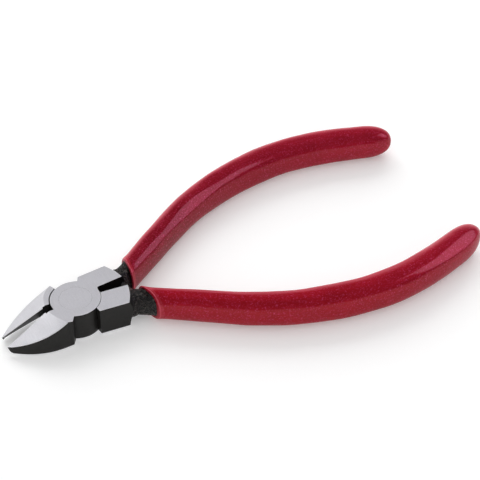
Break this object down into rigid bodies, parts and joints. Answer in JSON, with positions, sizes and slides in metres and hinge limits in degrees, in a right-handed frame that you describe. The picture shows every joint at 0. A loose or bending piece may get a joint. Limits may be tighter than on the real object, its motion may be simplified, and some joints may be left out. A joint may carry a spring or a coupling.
{
  "type": "diagonal cutting pliers",
  "caption": "Small lap-jointed diagonal cutting pliers with a flush-ground face, relieved cutting edges and dipped vinyl sleeves on bowed handles.",
  "frame": {"origin": "point where the pivot axis crosses the flat underside of the head", "axes": "+X from the pivot towards the handle ends along the shut line of the cutting edges; +Y towards the handle of the lever whose lap disc is on top; +Z along the pivot axis, out of the flush-ground face"},
  "size_m": [0.1203, 0.0648, 0.009],
  "materials": {
    "ground_steel_a": "satin ground top faces, black oxide sides and neck",
    "ground_steel_b": "satin ground top faces, black oxide sides and neck",
    "rivet_steel": "ground flush with the head",
    "red_vinyl_a": "glossy dipped vinyl",
    "red_vinyl_b": "glossy dipped vinyl"
  },
  "bodies": {
    "top_lap_half": {"lever_top_lap": "ground_steel_a", "pivot_rivet": "rivet_steel", "grip_top_lap": "red_vinyl_a"},
    "bottom_lap_half": {"lever_bottom_lap": "ground_steel_b", "grip_bottom_lap": "red_vinyl_b"}
  },
  "joints": [
    {"name": "pivot", "type": "hinge", "parent": "top_lap_half", "child": "bottom_lap_half", "pos_m": [0, 0, 0.0038], "axis": [0, 0, 1], "range_deg": [-45, 10.6]}
  ]
}
